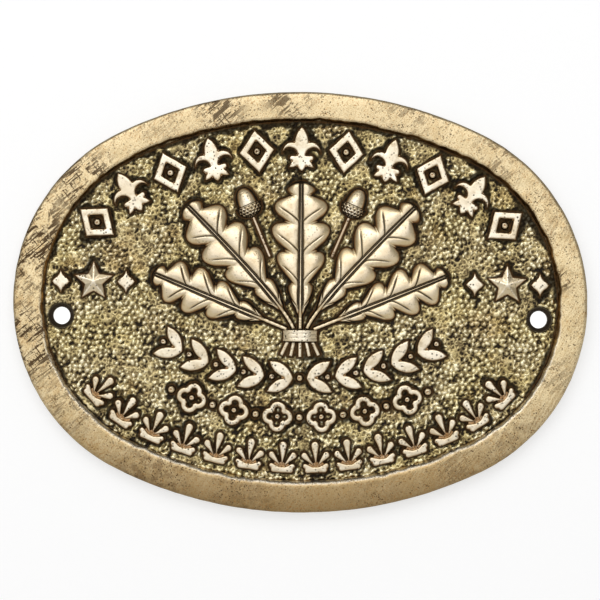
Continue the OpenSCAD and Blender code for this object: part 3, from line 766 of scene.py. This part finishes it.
class PLAQUE_OT_field(bpy.types.Operator):
    """Lays the pebbled skin over the plate's face, inside the rim and round the countersinks"""

    bl_idname = "plaque.field"
    bl_label = "Pebbled field"

    # How far the skin runs in under the rim's foot, its floor lies in the plate and its top over it, in mm
    tuck, floor_down, least_lift = 0.3, 0.25, 0.06
    # Shares of the pebbles' size: the rows' distance, a pebble's way off its place, and the range of radii
    row_pitch, jitter, radii = 0.87, 0.3, (0.38, 0.58)
    # Shares of the pebbles' height: the ground, a pebble, the hollow in it, and a pit's edge and depth
    ground_h, ball_h, hollow_d, pit_edge_h, pit_d = 0.24, 0.8, 0.34, 0.44, 0.52
    # How far a pebble's outline drifts, in mm, and the small and large folds as shares of the height
    drift, small_fold, large_fold = 0.45, 0.2, 0.26

    def execute(self, context):
        for side, name in ((-1, "pebbled_field_left"), (1, "pebbled_field_right")):
            self.half(side, name)
        return {"FINISHED"}

    def half(self, side, name):
        s = sizes()
        reach_x = s.half_w - s.rim_w - s.rim_foot + self.tuck
        reach_y = s.half_h - s.rim_w - s.rim_foot + self.tuck
        field, flat = grid(name, round(reach_x / s.field_step), round(2 * reach_y / s.field_step))
        x, y = (flat[:, 0] + 0.5 * side) * reach_x, flat[:, 1] * 2 * reach_y
        set_coordinates(field, plan_to_frame(x, y, np.full_like(x, s.face)))
        self.trim(field, s)
        places = coordinates(field) / MM
        x, y = places[:, 0], places[:, 2]
        from_forms, from_sinks = self.distances(places)
        near = np.minimum(from_forms, from_sinks)
        height = self.pebbles(x, y, s)
        ragged = from_forms + 0.25 * grain(x, y, 53, 1.6, 2)
        # Patina with painted shade round the raised forms, darker the nearer the form
        shaded = ragged - 0.6 * soft_step(grain(x, y, 59, 9, 2), -0.05, 0.35)
        # Patina and painted shade reach further where the ornament stands close under the rim, in the upper
        # half
        crowded = soft_step(oval_inset(x, y), 25, 18) * soft_step(y, -8, 8)
        shaded = shaded - 0.9 * crowded * soft_step(grain(x, y, 61, 4.5, 2), -0.35, 0.3)
        flank = s.flank_h * np.clip(1 - ragged / s.flank_w, 0, 1) ** 1.4
        lift = self.least_lift + height * s.pebble_h * (0.4 + 0.6 * soft_step(near, 0.2, 0.9))
        set_coordinates(field, plan_to_frame(x, y, s.face + np.maximum(lift, flank)))
        mark(field, "peak", height)
        # A painted ring of shade just outside each countersink
        ringed = from_sinks + 0.15 * grain(x, y, 67, 1.5, 2)
        mark(field, "patina_and_shade", np.maximum(soft_step(shaded, 0.85, 0.25), soft_step(ringed, 0.42, 0.1)))
        mark(field, "flank", np.clip(flank / s.flank_h, 0, 1))
        self.skirt(field, s)
        only(field)
        bpy.ops.object.shade_smooth()
        finish_piece(field, "field")

    def trim(self, field, s):
        """Takes away what lies under the rim or over a countersink, and fits the edges round the
        countersinks to their circles.
        """
        edge = s.rim_w + s.rim_foot - 0.25
        mesh = bmesh.new()
        mesh.from_mesh(field.data)
        spots = np.array([v.co[:] for v in mesh.verts]) / MM
        inset = oval_inset(spots[:, 0], spots[:, 2])
        ring = np.hypot(np.abs(spots[:, 0]) - s.hole_x, spots[:, 2] + s.hole_drop)
        gone = (inset < edge - s.field_step) | (ring < s.sink_r)
        bmesh.ops.delete(mesh, geom=[v for v, g in zip(mesh.verts, gone) if g], context="VERTS")
        for v in mesh.verts:
            if not v.is_boundary:
                continue
            across, up = v.co.x / MM, v.co.z / MM
            side = 1 if across > 0 else -1
            off = Vector((across - side * s.hole_x, up + s.hole_drop))
            if off.length < s.sink_r + 2 * s.field_step:
                off = off.normalized() * (s.sink_r + 0.05)
                v.co.x, v.co.z = (side * s.hole_x + off.x) * MM, (off.y - s.hole_drop) * MM
        mesh.to_mesh(field.data)
        mesh.free()

    def distances(self, places):
        """Distances in mm from the nearest raised form and from the nearest countersink."""
        s = sizes()
        tree = relief_tree()
        far = 3 * MM
        level = -(s.face + 0.3) * MM
        found = [tree.find_nearest(Vector((x * MM, level, z * MM)), far)[3] for x, _, z in places]
        found = np.array([far if d is None else d for d in found]) / MM
        return found, np.hypot(np.abs(places[:, 0]) - s.hole_x, places[:, 2] + s.hole_drop) - s.sink_r

    def pebbles(self, x, y, s):
        """Heights from 0 to 1: round pebbles in some places, small pits between folds in others."""
        random = np.random.default_rng(SEED)
        columns = np.arange(-s.half_w, s.half_w, s.pebble)
        rows = np.arange(-s.half_h, s.half_h, s.pebble * self.row_pitch)
        across, up = np.meshgrid(columns, rows)
        across[1::2] += s.pebble / 2
        across = across.ravel() + random.uniform(-self.jitter, self.jitter, across.size) * s.pebble
        up = up.ravel() + random.uniform(-self.jitter, self.jitter, up.size) * s.pebble
        bias = 0.22 - 0.25 * soft_step(up, -15, 35)
        raised = random.uniform(-0.28, 0.28, up.size) + grain(across, up, 7, 8, 2) > -bias
        radius = s.pebble * random.uniform(*self.radii, up.size)
        tree = KDTree(up.size)
        for i in range(up.size):
            tree.insert((across[i], up[i], 0), i)
        tree.balance()
        drift_x = x + grain(x, y, 11, 1.9, 2) * self.drift
        drift_y = y + grain(x, y, 23, 1.9, 2) * self.drift
        found = [tree.find_n((drift_x[i], drift_y[i], 0), 2) for i in range(len(x))]
        nearest = np.array([pair[0][1] for pair in found])
        gap = np.array([pair[0][2] for pair in found])
        border = np.array([pair[1][2] for pair in found]) - gap
        apart = 1 - (1 - soft_step(border, 0.0, 0.55)) * soft_step(grain(x, y, 31, 2.6, 2), -0.4, 0.25)
        ball = self.ball_h * np.clip(1 - (gap / radius[nearest]) ** 2, 0, 1) ** 0.6
        # Each pebble has a hollow at its lower right, where the punch leaned
        aside = drift_x - across[nearest] - 0.3 * s.pebble
        below = drift_y - up[nearest] + 0.34 * s.pebble
        ball = ball - self.hollow_d * np.clip(1 - (np.hypot(aside, below) / (0.42 * s.pebble)) ** 2, 0, 1)
        pit = self.pit_edge_h - self.pit_d * np.clip(1 - (gap / (radius[nearest] * 0.8)) ** 2, 0, 1)
        shape = np.where(raised[nearest], ball, pit)
        folds = self.small_fold * grain(x, y, 9, 1.3, 2) + self.large_fold * grain(x, y, 13, 3.2, 2)
        return np.clip(self.ground_h + apart * shape + folds, 0, 1)

    def skirt(self, field, s):
        """Closes the skin: its edges go down into the plate, and a floor joins them."""
        mesh = bmesh.new()
        mesh.from_mesh(field.data)
        edges = [e for e in mesh.edges if e.is_boundary]
        walls = bmesh.ops.extrude_edge_only(mesh, edges=edges)["geom"]
        low = [g for g in walls if isinstance(g, bmesh.types.BMVert)]
        for v in low:
            v.co.y = -(s.face - self.floor_down) * MM
        rims = [e for e in mesh.edges if e.is_boundary]
        bmesh.ops.triangle_fill(mesh, edges=rims, use_beauty=False)
        bmesh.ops.recalc_face_normals(mesh, faces=mesh.faces)
        mesh.to_mesh(field.data)
        mesh.free()


TRIM = (
    "top_band_lilies", "top_band_lozenges", "top_band_beads", "left_star", "right_star", "side_lozenges",
    "garland_leaves", "garland_berries", "quatrefoil_row", "quatrefoil_beads", "palmette_row",
)


def wear(node, places, height, s):
    """Rounds a flat top off towards the node's upright walls. Gives heights and the worn edges' marks."""
    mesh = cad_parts[node].data
    steep = 0.4
    walls = [p.vertices[:] for p in mesh.polygons if abs(p.normal.y) < steep]
    edge = np.zeros_like(height)
    if not walls:
        return height, edge
    tree = BVHTree.FromPolygons([v.co for v in mesh.vertices], walls)
    high = np.flatnonzero(height > s.face + 0.5)
    gap = np.array([tree.find_nearest(Vector(places[i] * MM))[3] for i in high]) / MM
    edge[high] = soft_step(gap, 0.45, 0.12)
    radius = s.soft_edge
    top = height.max()
    dip = np.clip(radius - gap, 0, radius)
    lowered = top - radius + np.sqrt(np.clip(radius ** 2 - dip ** 2, 0, None))
    flat = height[high] > top - radius
    height = height.copy()
    height[high[flat]] = np.minimum(height[high], lowered)[flat]
    return height, edge


class PLAQUE_OT_trim(bpy.types.Operator):
    """Casts the flat-topped ornament and the beads with soft edges"""

    bl_idname = "plaque.trim"
    bl_label = "Ornament"

    voxel: length("Voxel", "Size of the remesh's cells", 0.2)

    # How far the outlines waver and the tops are dented, in mm
    waver, dent = 0.09, 0.06

    def execute(self, context):
        s = sizes()
        for node in TRIM:
            piece = cast_copy(node, self.voxel, rounds=3)
            places = coordinates(piece) / MM
            x, height, y = places[:, 0], -places[:, 1], places[:, 2]
            free = soft_step(height, s.face + 0.2, s.face + 0.8)
            height, edge = wear(node, places, height, s)
            x = x + free * self.waver * grain(x, y, 41, 2.2, 2)
            y = y + free * self.waver * grain(y, x, 43, 2.2, 2)
            height = height - free * self.dent * (1 + grain(x, y, 47, 1.6, 2)) / 2
            set_coordinates(piece, plan_to_frame(x, y, height))
            mark(piece, "edge", edge)
            finish_piece(piece, "raised", node)
        return {"FINISHED"}


# The spray's plan in mm, as the CAD source draws it over the band that ties it. WIDEST is the share of a
# blade's length where it is widest, and CURVE_SHARE a bent midrib's length over that of its two legs.
TIE_TOP = -7.8
SPRAY_H = 42.6
SPRAY_REACH = 42.52
STALK_PITCH = 1.8
HALF_LOBES = 9
LOBE_TURN = math.radians(90 * HALF_LOBES)
WIDEST = 0.58
CURVE_SHARE = 0.97
ACORN_AT = (15.171, 27.737)
ACORN_WAY = math.atan2(14.834, 6.330)
CUP_R = 4.123
NUT_AXIS_H = 2.5 - 3.523


def in_spray(across, up):
    return np.array((across * SPRAY_REACH, TIE_TOP + up * SPRAY_H))


# Each leaf's place at the tie, elbow, tip, width, stalk's length, and which side it is on
LEAVES = {
    "upright_leaf": (0, in_spray(0, 0.5), in_spray(0, 1), 0.40 * SPRAY_REACH, 0.08 * SPRAY_H, 1),
    "upper_right_leaf": (1, in_spray(0.107, 0.175), in_spray(0.78, 0.84), 0.37 * SPRAY_H, 0.14 * SPRAY_H, 1),
    "lower_right_leaf": (2, in_spray(0.233, 0.06), in_spray(1, 0.373), 0.33 * SPRAY_H, 0.16 * SPRAY_H, 1),
}
for right in ("upper_right_leaf", "lower_right_leaf"):
    LEAVES[right.replace("right", "left")] = (*LEAVES[right][:5], -1)


class PLAQUE_OT_leaves(bpy.types.Operator):
    """Models the oak leaves: puffed lobes, a midrib between two grooves, and a vein to every lobe"""

    bl_idname = "plaque.leaves"
    bl_label = "Oak leaves"

    along = 230
    top_columns = 64
    # Shares of the rows that are the stalk's and of the blade before its round tip
    stalk_rows, tip_from = 0.1, 0.955
    # How far the foot goes down into the plate, and the stalk's edge and crest over it, in mm
    foot_down, stalk_edge_h, stalk_crest_h = 0.3, 0.6, 1.5
    # Reach to each side and depth or height in mm, of the valley round the midrib, the midrib, the groove on
    # each side of it and the veins
    valley_r, valley_d = 1.5, 0.5
    midrib_r, midrib_h = 0.34, 0.42
    groove_at, groove_r, groove_d = 0.66, 0.24, 0.3
    vein_r, vein_d = 0.27, 0.3

    def execute(self, context):
        for name, leaf in LEAVES.items():
            self.leaf(name, leaf)
        return {"FINISHED"}

    def leaf(self, name, leaf):
        s = sizes()
        start = np.array((leaf[0] * STALK_PITCH, TIE_TOP))
        elbow, tip, width, stalk_l, way = leaf[1:]
        a, b = np.linalg.norm(elbow - start), np.linalg.norm(tip - elbow)
        stalk_share = stalk_l / ((a + b) * CURVE_SHARE)
        blade_l = (a + b) * CURVE_SHARE - stalk_l
        # Across: up the left wall, over the top from -1 to 1, and down the right wall
        tops = np.linspace(-1, 1, self.top_columns + 1)
        sides = np.concatenate([[-1, -1], np.sign(tops) * np.abs(tops) ** 1.35, [1, 1, -1]])
        rise = np.concatenate([[0, 0.6], np.ones(len(tops)), [0.6, 0, 0]])

        def place(u, v):
            row = np.rint(u * self.along).astype(int)
            step = np.rint(v * (len(sides) - 1)).astype(int)
            c, up = sides[step], rise[step]
            share = row / self.along
            # Stations crowd towards the tip, so that it comes out round
            stalk = self.stalk_rows
            at = np.where(share < stalk, share / stalk - 1,
                          np.sin(np.clip((share - stalk) / (1 - stalk), 0, 1) * math.pi / 2))
            end = (row == 0) | (row == self.along)
            c = np.where(end, 0, c)
            half = self.half_width(at, width, s)
            speed = np.where(at < 0, stalk_share * (1 + at), stalk_share + (1 - stalk_share) * at)
            if abs(b - a) > 0.01:
                speed = (np.sqrt(a * a + speed * (b * b - a * a)) - a) / (b - a)
            t = speed[:, None]
            spine = (1 - t) ** 2 * start + 2 * t * (1 - t) * elbow + t * t * tip
            ahead = (1 - t) * (elbow - start) + t * (tip - elbow)
            ahead /= np.linalg.norm(ahead, axis=1)[:, None]
            left = np.stack([-ahead[:, 1], ahead[:, 0]], axis=1)
            lean = 0.5 * (1 - np.clip(at, 0, 1) ** 3) * np.clip(half - s.stalk_w / 2, 0, None) * np.abs(c)
            spot = spine + left * (c * half)[:, None] + ahead * lean[:, None]
            height, groove = self.surface(at, c, half, blade_l, s)
            tip_share = np.clip((at - self.tip_from) / (1 - self.tip_from), 0, 1)
            ease = np.sqrt(np.clip(1 - tip_share ** 2, 0, 1))
            height = height * (0.25 + 0.75 * ease) * up - self.foot_down * (up == 0)
            height = np.where(end, -self.foot_down, height)
            x, y = way * spot[:, 0], spot[:, 1]
            height = height - 0.05 * (1 + grain(x, y, 61, 2.4, 2)) * (up == 1)
            edge = soft_step((1 - np.abs(c)) * half, 0.8, 0.15) * (half > s.stalk_w / 2 + 0.2)
            marks = {"groove": groove * (up == 1), "edge": edge, "calm": np.ones_like(edge)}
            return plan_to_frame(x, y, s.face + height), marks

        piece = sheet("cast_" + name, self.along, len(sides) - 1, place)
        finish_piece(piece, "raised", name)

    def half_width(self, at, width, s):
        lobe = np.abs(np.sin(LOBE_TURN * at)) ** 0.7
        rising = 0.16 + 0.84 * np.sin(np.clip(at / WIDEST, 0, 1) * math.pi / 2) ** 1.1
        falling = np.sqrt(1 - np.clip((at - WIDEST) / (1 - WIDEST), 0, 1) ** 2.2)
        reach = np.where(at < WIDEST, rising, falling)
        blade = width / 2 * reach * (1 - s.leaf_notch + s.leaf_notch * lobe)
        return np.where(at < 0, s.stalk_w / 2, np.where(at < 0.5, np.maximum(blade, s.stalk_w / 2), blade))

    def surface(self, at, c, half, blade_l, s):
        """Heights over the plate, and how deep in a groove each place lies."""
        side = np.abs(c)
        grown = np.clip((half - s.stalk_w / 2) / 2, 0, 1)
        puff = np.abs(np.sin(LOBE_TURN * (at - 0.02 + 0.055 * (1 - side)))) ** 0.7
        edge = self.stalk_edge_h + (s.leaf_edge_h - self.stalk_edge_h) * grown
        swell = (1 - side ** 3) * (1 - 0.34 * (1 - puff) * side ** 0.8)
        crest = self.stalk_crest_h + (s.leaf_h - self.stalk_crest_h) * grown
        middle = side * half
        thin = 1.1 - 0.6 * np.clip(at, 0, 1)
        valley = np.exp(-(middle / self.valley_r) ** 2) * self.valley_d
        midrib = np.exp(-(middle / (self.midrib_r * thin)) ** 4) * self.midrib_h
        midrib_groove = np.exp(-((middle - self.groove_at * thin) / self.groove_r) ** 2) * self.groove_d
        groove = midrib_groove * 2.6
        veins = np.zeros_like(at)
        for k in (1, 3, 5, 7):
            path = k / HALF_LOBES - 0.085 * (1 - side) ** 1.3
            off = (at - path) * blade_l
            veins = np.maximum(veins, np.exp(-(off / self.vein_r) ** 2))
        fade = soft_step(side, 0.92, 0.6) * soft_step(middle, 0.3, 1.0)
        groove = np.maximum(groove, veins * fade) * grown
        cut = (valley - midrib + midrib_groove + self.vein_d * veins * fade) * grown
        return edge + (crest - edge) * swell - cut, np.clip(groove, 0, 1)


class PLAQUE_OT_acorns(bpy.types.Operator):
    """Models the acorns: smooth nuts in cups that are covered with rows of scales, on round stalks"""

    bl_idname = "plaque.acorns"
    bl_label = "Acorns"

    # The cups' scales: a row's length and a scale's height in mm, and half the scales of a whole ring
    row_l, scale_h, half_ring = 0.85, 0.28, 9

    def execute(self, context):
        s = sizes()
        for node in ("acorn_nuts", "acorn_stalks"):
            finish_piece(cast_copy(node, voxel=0.18, rounds=4), "raised", node)
        cups = cast_copy("acorn_cups", voxel=0.15, rounds=3)
        places = coordinates(cups) / MM
        way = np.where(places[:, 0] < 0, -1, 1)
        across = np.abs(places[:, 0]) - ACORN_AT[0]
        up = places[:, 2] - ACORN_AT[1]
        cos_way, sin_way = math.cos(ACORN_WAY), math.sin(ACORN_WAY)
        axis = across * cos_way + up * sin_way
        side = -across * sin_way + up * cos_way
        high = -places[:, 1] - s.face - NUT_AXIS_H
        turn = np.arctan2(side, high)
        rows = axis / self.row_l
        scales = np.abs(np.cos(turn * self.half_ring + math.pi / 2 * np.floor(rows)))
        scales = np.abs(np.cos(math.pi * rows)) ** 0.8 * scales
        skin = soft_step(np.hypot(side, high), CUP_R * 0.2, CUP_R * 0.5) * soft_step(axis, -0.1, -0.5)
        push = (scales - 0.9) * self.scale_h * skin
        out = np.stack([side, high], axis=1) / np.maximum(np.hypot(side, high), 0.1)[:, None]
        side, high = side + out[:, 0] * push, high + out[:, 1] * push
        across = axis * cos_way - side * sin_way + ACORN_AT[0]
        up = axis * sin_way + side * cos_way + ACORN_AT[1]
        lifted = np.where(-places[:, 1] > s.face + 0.1, high + s.face + NUT_AXIS_H, -places[:, 1])
        set_coordinates(cups, plan_to_frame(way * across, up, lifted))
        mark(cups, "groove", np.clip((0.45 - scales) * 2, 0, 1) * skin)
        finish_piece(cups, "raised", "acorn_cups")
        return {"FINISHED"}


class PLAQUE_OT_tie(bpy.types.Operator):
    """Casts the band that ties the spray and the cut ends of the stalks under it"""

    bl_idname = "plaque.tie"
    bl_label = "Tie and stalk ends"

    def execute(self, context):
        for node in ("tie_band", "stalk_ends"):
            finish_piece(cast_copy(node, voxel=0.16, rounds=3), "raised", node)
        return {"FINISHED"}


class PLAQUE_OT_stage(bpy.types.Operator):
    """Sets up the camera, the pale floor and wall, and the soft studio light"""

    bl_idname = "plaque.stage"
    bl_label = "Studio"

    # The camera looks straight on, this far from the rim's top in metres, at a picture this wide. The plaque
    # hangs half a degree clockwise of level, and the picture's middle lies this far right of it and up
    distance = 0.62
    picture_w = 171.6 * MM
    sensor_w = 36
    roll = math.radians(0.51)
    aim_x, aim_z = -0.1 * MM, 0.65 * MM
    # The room in metres: half its width, the wall's place and top, and the floor's place and ends
    room_x = 1.6
    wall_y, wall_top = 0.0006, 2.2
    floor_z, floor_front, floor_back = -0.13, -2.4, 1.4
    # How bright the floor, the wall and the wall behind the screw holes look, and the light in the air
    floor_glow, wall_glow, hole_glow, air_light = 0.47, 0.585, 0.93, 0.4
    # Name, place, size and power
    lamps = (
        ("key_softbox", (-0.1, -0.95, 0.72), (1.2, 0.6), 3.4),
        ("front_softbox", (-0.2, -1.45, 0.36), (2.1, 1.1), 8.4),
    )

    def execute(self, context):
        scene = context.scene
        self.camera(scene)
        self.wall_and_floor()
        self.lights(scene)
        scene.view_settings.view_transform = "Standard"
        return {"FINISHED"}

    def camera(self, scene):
        front = -sizes().rim_top * MM
        bpy.ops.object.camera_add(location=(self.aim_x, front - self.distance, self.aim_z),
                                  rotation=(math.radians(90), -self.roll, 0))
        camera = bpy.context.object
        camera.name = "camera"
        camera.data.sensor_width = self.sensor_w
        camera.data.lens = self.sensor_w * self.distance / self.picture_w
        camera.data.clip_start = 0.01
        scene.camera = camera

    def wall_and_floor(self):
        wall = self.plane("studio_wall", (self.wall_y, self.floor_z), (self.wall_y, self.wall_top))
        floor = self.plane("studio_floor", (self.floor_front, self.floor_z), (self.floor_back, self.floor_z))
        wall.data.materials.append(self.pale("wall_paint", True))
        floor.data.materials.append(self.pale("floor_paint", False))
        # The wall only takes the plaque's shadow, so that it neither hides nor darkens the back
        wall.visible_diffuse = wall.visible_glossy = wall.visible_shadow = False
        wall.visible_transmission = False

    def plane(self, name, near, far):
        """A plane as wide as the room between two edges, each given as its Y and Z."""
        bpy.ops.mesh.primitive_plane_add(size=1)
        piece = named(name)
        corners = [(x, *edge) for edge in (near, far) for x in (-self.room_x, self.room_x)]
        set_coordinates(piece, np.array(corners))
        return piece

    def pale(self, name, one_sided):
        """Matt paint that looks evenly lit to the camera and in mirrors."""
        f = Finish(name)
        out = f.tree.nodes["Material Output"]
        matt = f.add("ShaderNodeBsdfDiffuse", STUDIO_GREY)
        glow = f.add("ShaderNodeEmission", (1, 1, 1), self.at_wall(f) if one_sided else self.floor_glow)
        rays = f.add("ShaderNodeLightPath").outputs
        shown = f.most(rays["Is Camera Ray"], f.most(rays["Is Glossy Ray"], rays["Is Transmission Ray"]))
        unlit = f.add("ShaderNodeBsdfDiffuse", (0, 0, 0)).outputs[0]
        lit = f.add("ShaderNodeMixShader", shown, unlit, glow.outputs[0])
        body = f.add("ShaderNodeAddShader", matt.outputs[0], lit.outputs[0])
        if one_sided:
            behind = f.add("ShaderNodeNewGeometry").outputs["Backfacing"]
            body = f.add("ShaderNodeMixShader", behind, body.outputs[0],
                         f.add("ShaderNodeBsdfTransparent").outputs[0])
        f.tree.nodes.remove(f.shader)
        f.tree.links.new(body.outputs[0], out.inputs["Surface"])
        return f.material

    def at_wall(self, f):
        """The wall's glow: a little more right behind the plaque, where only the screw holes show it."""
        s = sizes()
        shares = f.add("ShaderNodeVectorMath", f.place, (1 / (s.half_w * MM), 0, 1 / (s.half_h * MM)),
                       operation="MULTIPLY")
        off = f.add("ShaderNodeVectorMath", shares.outputs[0], operation="LENGTH").outputs["Value"]
        return f.remap(off, 0.95, 0.92, self.wall_glow, self.hole_glow)

    def lights(self, scene):
        middle = Vector((0, -0.004, 0))
        for name, place, size, power in self.lamps:
            bpy.ops.object.light_add(type="AREA", location=place)
            lamp = named(name)
            lamp.data.shape = "RECTANGLE"
            lamp.data.size, lamp.data.size_y = size
            lamp.data.energy = power
            lamp.rotation_euler = (middle - Vector(place)).to_track_quat("-Z", "Y").to_euler()
        world = bpy.data.worlds.new("studio_air")
        scene.world = world
        world.use_nodes = True
        air = world.node_tree.nodes["Background"]
        air.inputs["Color"].default_value = (1, 1, 1, 1)
        air.inputs["Strength"].default_value = self.air_light


class PLAQUE_PT_panel(bpy.types.Panel):
    """Lists the plaque's pieces, sizes and colours"""

    bl_idname = "PLAQUE_PT_panel"
    bl_label = "Brass plaque"
    bl_space_type = "VIEW_3D"
    bl_region_type = "UI"
    bl_category = "Plaque"

    def draw(self, context):
        for group in (context.scene.plaque_sizes, context.scene.plaque_colours):
            box = self.layout.box()
            for name in group.__annotations__:
                box.prop(group, name)
        for operator in OPERATORS:
            self.layout.operator(operator.bl_idname)


OPERATORS = (
    PLAQUE_OT_stage, PLAQUE_OT_plate, PLAQUE_OT_rim, PLAQUE_OT_field, PLAQUE_OT_trim, PLAQUE_OT_leaves,
    PLAQUE_OT_acorns, PLAQUE_OT_tie,
)
CLASSES = (PlaqueSizes, PlaqueColours, *OPERATORS, PLAQUE_PT_panel)


def register():
    for item in CLASSES:
        bpy.utils.register_class(item)
    bpy.types.Scene.plaque_sizes = bpy.props.PointerProperty(type=PlaqueSizes)
    bpy.types.Scene.plaque_colours = bpy.props.PointerProperty(type=PlaqueColours)


def unregister():
    del bpy.types.Scene.plaque_colours
    del bpy.types.Scene.plaque_sizes
    for item in reversed(CLASSES):
        bpy.utils.unregister_class(item)


def main():
    register()
    bpy.ops.plaque.stage()
    bpy.ops.plaque.plate()
    bpy.ops.plaque.rim()
    bpy.ops.plaque.field()
    bpy.ops.plaque.trim()
    bpy.ops.plaque.leaves()
    bpy.ops.plaque.acorns()
    bpy.ops.plaque.tie()


if __name__ == "__main__":
    main()
